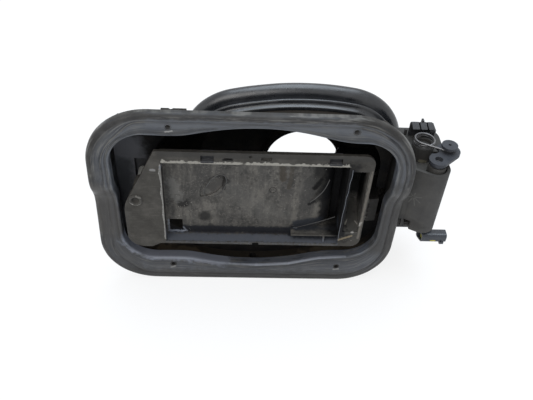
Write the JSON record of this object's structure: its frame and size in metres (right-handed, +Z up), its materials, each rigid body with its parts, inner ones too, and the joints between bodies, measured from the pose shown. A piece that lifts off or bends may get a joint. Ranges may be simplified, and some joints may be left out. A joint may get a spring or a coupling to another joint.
{
  "type": "fuel door",
  "caption": "Car fuel filler flap module: recessed pot with a soft lip, hinged flap carrier with a gooseneck arm, over-centre spring, latch, lock actuator and a rear neck boot.",
  "frame": {"origin": "centre of the filler neck opening, on the front face of the pot's back wall", "axes": "+X to the right seen from outside the car, +Y into the car along the neck opening, +Z up"},
  "size_m": [0.2873, 0.097, 0.18],
  "materials": {
    "pot_plastic": "satin moulded black",
    "lip_rubber": "satin, dusty charcoal",
    "boot_rubber": "smooth satin black",
    "housing_plastic": "fine matte grain, grey-black",
    "anchor_plastic": "matte black",
    "bush_plastic": "smooth natural white",
    "spring_steel": "drawn wire, dull",
    "carrier_plastic": "dusty matte black, greyish brown",
    "clip_plastic": "dusty matte black",
    "buffer_rubber": "worn, dusty",
    "shaft_steel": "ground",
    "lever_plastic": "satin bluish grey-black",
    "latch_plastic": "matte black",
    "screw_steel": "zinc plated",
    "actuator_plastic": "matte black",
    "motor_steel": "plated can",
    "plug_plastic": "smooth, slightly shiny",
    "seal_yellow": "soft, matt",
    "retainer_yellow": "matt",
    "terminal_brass": "tinned"
  },
  "bodies": {
    "housing": {"pot_shell": "pot_plastic", "lip_seal": "lip_rubber", "neck_boot": "boot_rubber", "hinge_housing": "housing_plastic", "upper_bush": "bush_plastic", "lower_bush": "bush_plastic", "spring_anchor": "anchor_plastic", "latch_body": "latch_plastic", "latch_cap": "latch_plastic", "latch_spring": "spring_steel", "latch_screws": "screw_steel", "actuator_case": "actuator_plastic", "actuator_lid": "actuator_plastic", "lock_motor": "motor_steel", "plug_shell": "plug_plastic", "plug_seal": "seal_yellow", "plug_retainer": "retainer_yellow", "plug_terminals": "terminal_brass", "case_screws": "screw_steel"},
    "flap": {"flap_carrier": "carrier_plastic", "left_skin_clip": "clip_plastic", "right_skin_clip": "clip_plastic", "flap_buffer": "buffer_rubber", "hinge_shaft": "shaft_steel", "hinge_lever": "lever_plastic", "spring_post": "lever_plastic"},
    "spring": {"over_centre_spring": "spring_steel"},
    "plunger": {"latch_plunger": "bush_plastic"},
    "bolt": {"lock_bolt": "bush_plastic"},
    "spindle": {"lock_spindle": "shaft_steel"}
  },
  "joints": [
    {"name": "flap_hinge", "type": "hinge", "parent": "housing", "child": "flap", "pos_m": [0.099, -0.048, 0], "axis": [0, 0, 1], "range_deg": [0, 76]},
    {"name": "spring_swing", "type": "hinge", "parent": "housing", "child": "spring", "pos_m": [0.1005, -0.0095, 0.0351], "axis": [0, 0, 1], "range_deg": [-37.1, 0], "deforming": ["over_centre_spring"]},
    {"name": "latch_slide", "type": "slide", "parent": "housing", "child": "plunger", "axis": [0, -1, 0], "range_m": [-0.003, 0.009], "stiffness_N_per_m": 150, "deforming": ["latch_spring"]},
    {"name": "spindle_turn", "type": "hinge", "parent": "housing", "child": "spindle", "pos_m": [0.08429, -0.00759, -0.045], "axis": [0, 0, 1], "range_deg": [0, 721]},
    {"name": "lock_slide", "type": "slide", "parent": "housing", "child": "bolt", "axis": [0, 0, 1], "range_m": [0, 0.006]}
  ],
  "couplings": [
    {"joint": "spring_swing", "follows": "flap_hinge", "ratio": -0.48743},
    {"joint": "spindle_turn", "follows": "lock_slide", "rad_per_m": 2094.4}
  ]
}
